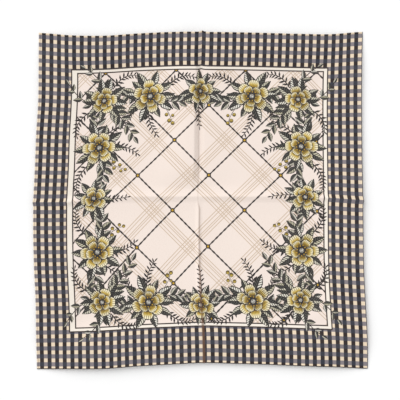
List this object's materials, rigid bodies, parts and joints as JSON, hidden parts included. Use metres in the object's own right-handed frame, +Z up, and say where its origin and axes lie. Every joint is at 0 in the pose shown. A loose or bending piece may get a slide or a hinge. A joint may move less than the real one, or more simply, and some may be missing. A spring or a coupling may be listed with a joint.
{
  "type": "square scarf laid flat",
  "caption": "Thin square printed scarf with a narrow rolled hem, opened out flat, with the ridges and valley of a fold in four.",
  "frame": {"origin": "centre of the laid-out scarf's footprint, at the level of the surface it lies on", "axes": "+X to the right and +Y away from the viewer along the hems, as seen from above, +Z up out of the cloth's printed side"},
  "size_m": [0.6892, 0.6962, 0.0124],
  "materials": {
    "printed_cloth": "smooth fine twill with a soft sheen, printed in cream, tan, gold, olive and near black"
  },
  "bodies": {
    "root": {"scarf": "printed_cloth"}
  },
  "joints": []
}
